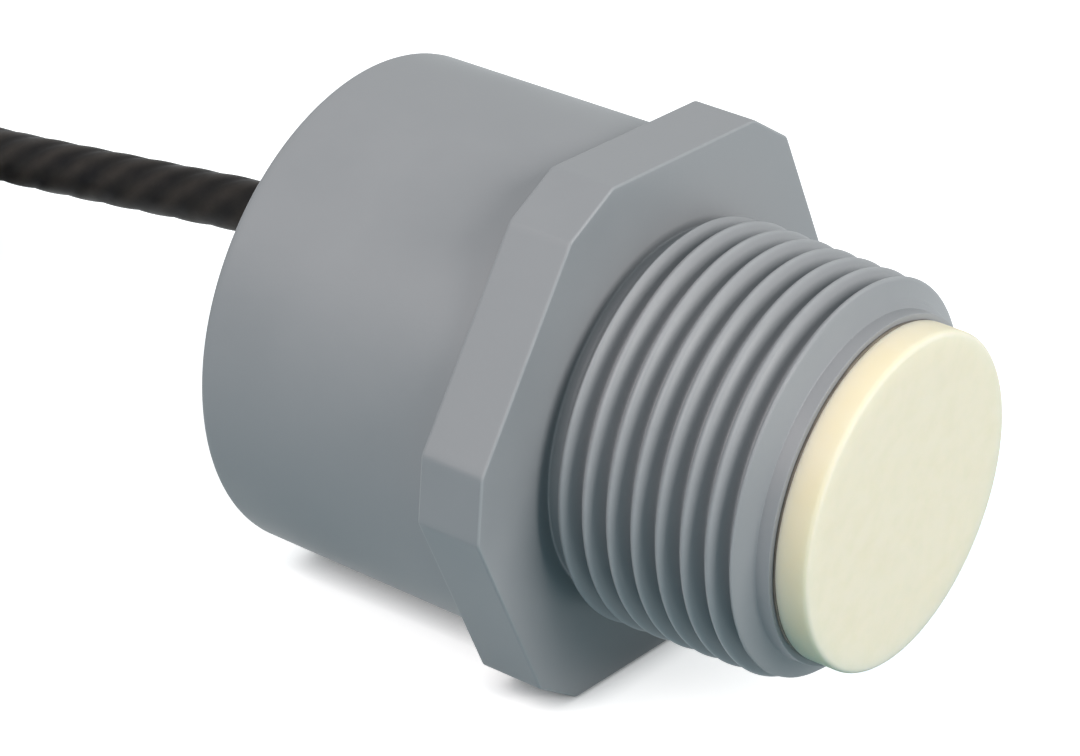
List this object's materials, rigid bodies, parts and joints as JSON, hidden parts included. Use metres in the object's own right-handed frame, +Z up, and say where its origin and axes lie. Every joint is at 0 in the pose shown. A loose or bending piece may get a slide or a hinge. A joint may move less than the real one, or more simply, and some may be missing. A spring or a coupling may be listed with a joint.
{
  "type": "ultrasonic level sensor",
  "caption": "Ultrasonic level sensor in a moulded grey housing with a wrench hexagon, a tapered pipe thread, a cream sounding face and a black cable.",
  "frame": {"origin": "centre of the bottom of the sensor's bounding box, without its free cable, as it lies on one flat of the hexagon and the rim of its hub", "axes": "+Z up, +X towards the sounding face; the sensor's own axis lies in the XZ plane and rises 2.36 degrees towards +X"},
  "size_m": [0.1709, 0.0724, 0.0442],
  "materials": {
    "housing_pvc": "moulded, satin",
    "face_resin": "cast, matt",
    "adhesive": "cured bead",
    "piezo_ceramic": "fired, silvered",
    "cork": "cut cork",
    "loaded_epoxy": "cast",
    "potting_epoxy": "cast",
    "board_laminate": "solder mask",
    "ferrite": "ground",
    "winding_copper": "enamelled wire",
    "capacitor_can": "drawn can",
    "chip_plastic": "moulded",
    "crystal_can": "plated can",
    "chip_ceramic": "fired",
    "wire_insulation": "extruded",
    "grommet_rubber": "moulded",
    "cable_jacket": "extruded, satin",
    "core_red_insulation": "extruded",
    "core_black_insulation": "extruded",
    "core_white_insulation": "extruded",
    "core_green_insulation": "extruded",
    "tinned_copper": "tinned strands"
  },
  "bodies": {
    "root": {"housing": "housing_pvc", "sounding_face": "face_resin", "face_bond": "adhesive", "piezo_disc": "piezo_ceramic", "cork_sleeve": "cork", "signal_wire": "wire_insulation", "ground_wire": "wire_insulation", "backing_plug": "loaded_epoxy", "circuit_board": "board_laminate", "pot_core_rear": "ferrite", "pot_core_front": "ferrite", "transformer_winding": "winding_copper", "storage_capacitor": "capacitor_can", "controller_chip": "chip_plastic", "amplifier_chip": "chip_plastic", "driver_transistor": "chip_plastic", "timing_crystal": "crystal_can", "thermistor": "chip_ceramic", "chip_resistors": "chip_ceramic", "chip_capacitors": "chip_ceramic", "cable_grommet": "grommet_rubber", "cable_end_inside": "cable_jacket", "board_cores": "wire_insulation", "potting_fill": "potting_epoxy", "cable_lead": "cable_jacket", "cable_coil": "cable_jacket", "cable_tail": "cable_jacket", "core_red": "core_red_insulation", "core_black": "core_black_insulation", "core_white": "core_white_insulation", "core_green": "core_green_insulation", "tinned_ends": "tinned_copper"}
  },
  "joints": []
}
